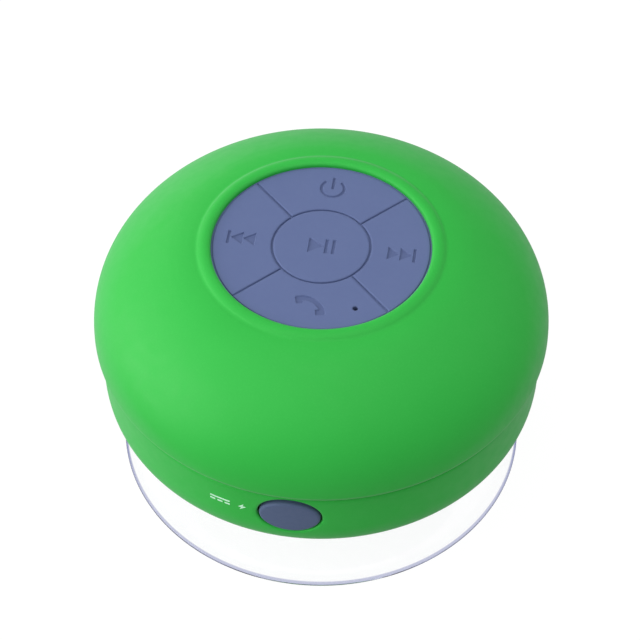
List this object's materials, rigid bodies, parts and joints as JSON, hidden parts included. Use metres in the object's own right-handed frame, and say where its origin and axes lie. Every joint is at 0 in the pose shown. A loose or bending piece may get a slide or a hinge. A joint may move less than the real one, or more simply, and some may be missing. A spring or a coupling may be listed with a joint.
{
  "type": "shower speaker",
  "caption": "Domed waterproof wireless speaker on a clear suction cup, with a round keypad on top and a rubber-plugged charging port.",
  "frame": {"origin": "centre of the suction cup's rim plane, on the wall or table that it holds", "axes": "+Z away from that surface, out through the keypad; -Y towards the charging port and the call key; +X towards the next key"},
  "size_m": [0.086, 0.086, 0.0539],
  "materials": {
    "green_shell": "satin soft-touch paint on ABS",
    "slate_silicone": "matt moulded silicone",
    "clear_vinyl": "clear soft vinyl",
    "steel": "plain",
    "black_plastic": "moulded",
    "white_plastic": "moulded",
    "circuit_board": "green solder mask",
    "battery_pouch": "laminated foil",
    "black_foam": "closed-cell foam",
    "black_rubber": "matt",
    "ferrite": "sintered",
    "cone_paper": "pressed paper",
    "spider_cloth": "resin-dipped cloth",
    "copper": "enamelled copper wire",
    "red_lead": "insulated wire",
    "white_lead": "insulated wire"
  },
  "bodies": {
    "cup": {"suction_cup": "clear_vinyl"},
    "housing": {"upper_shell": "green_shell", "lower_shell": "green_shell", "base_grille": "green_shell", "shell_screw_1": "steel", "shell_screw_2": "steel", "shell_screw_3": "steel", "shell_screw_4": "steel", "grille_screw_1": "steel", "grille_screw_2": "steel", "grille_screw_3": "steel", "seam_gasket": "black_rubber", "grille_mesh": "black_plastic", "cup_retainer": "black_plastic", "cup_screw_1": "steel", "cup_screw_2": "steel", "cup_screw_3": "steel", "board_screw_1": "steel", "board_screw_2": "steel", "board_screw_3": "steel", "keypad_web": "slate_silicone", "play_switch": "black_plastic", "next_switch": "black_plastic", "power_switch": "black_plastic", "previous_switch": "black_plastic", "call_switch": "black_plastic", "key_board": "circuit_board", "bluetooth_chip": "black_plastic", "microphone": "steel", "status_led": "white_plastic", "charge_board": "circuit_board", "usb_socket": "steel", "battery": "battery_pouch", "battery_pad": "black_foam", "speaker_leads": "white_lead", "battery_leads": "red_lead", "driver_frame": "steel", "driver_gasket": "black_foam", "driver_magnet": "ferrite", "driver_top_plate": "steel", "driver_yoke": "steel", "driver_surround": "black_rubber", "driver_spider": "spider_cloth", "board_ribbon": "white_lead"},
    "play_button": {"play_key": "slate_silicone", "play_plunger": "white_plastic"},
    "next_button": {"next_key": "slate_silicone", "next_plunger": "white_plastic"},
    "power_button": {"power_key": "slate_silicone", "power_plunger": "white_plastic"},
    "previous_button": {"previous_key": "slate_silicone", "previous_plunger": "white_plastic"},
    "call_button": {"call_key": "slate_silicone", "call_plunger": "white_plastic"},
    "tether": {"plug_tether": "slate_silicone"},
    "plug": {"port_plug": "slate_silicone"},
    "cone": {"driver_cone": "cone_paper", "driver_dust_cap": "black_rubber", "voice_coil": "copper"}
  },
  "joints": [
    {"name": "cup_compress", "type": "slide", "parent": "cup", "child": "housing", "axis": [0, 0, -1], "range_m": [0, 0.0035], "stiffness_N_per_m": 4000, "springref_m": -0.001, "deforming": ["suction_cup"]},
    {"name": "play_press", "type": "slide", "parent": "housing", "child": "play_button", "axis": [0, 0, -1], "range_m": [0, 0.0005], "stiffness_N_per_m": 2500},
    {"name": "next_press", "type": "slide", "parent": "housing", "child": "next_button", "axis": [0, 0, -1], "range_m": [0, 0.0005], "stiffness_N_per_m": 2500},
    {"name": "power_press", "type": "slide", "parent": "housing", "child": "power_button", "axis": [0, 0, -1], "range_m": [0, 0.0005], "stiffness_N_per_m": 2500},
    {"name": "previous_press", "type": "slide", "parent": "housing", "child": "previous_button", "axis": [0, 0, -1], "range_m": [0, 0.0005], "stiffness_N_per_m": 2500},
    {"name": "call_press", "type": "slide", "parent": "housing", "child": "call_button", "axis": [0, 0, -1], "range_m": [0, 0.0005], "stiffness_N_per_m": 2500},
    {"name": "plug_pull", "type": "slide", "parent": "housing", "child": "tether", "axis": [0, -1, 0], "range_m": [0, 0.0044]},
    {"name": "plug_swing", "type": "hinge", "parent": "tether", "child": "plug", "pos_m": [-0.00566, -0.0414, 0.0254], "axis": [0, 0, -1], "range_deg": [0, 120]},
    {"name": "cone_travel", "type": "slide", "parent": "housing", "child": "cone", "axis": [0, 0, -1], "range_m": [-0.0008, 0.0008], "stiffness_N_per_m": 1200, "deforming": ["driver_surround", "driver_spider"]}
  ]
}
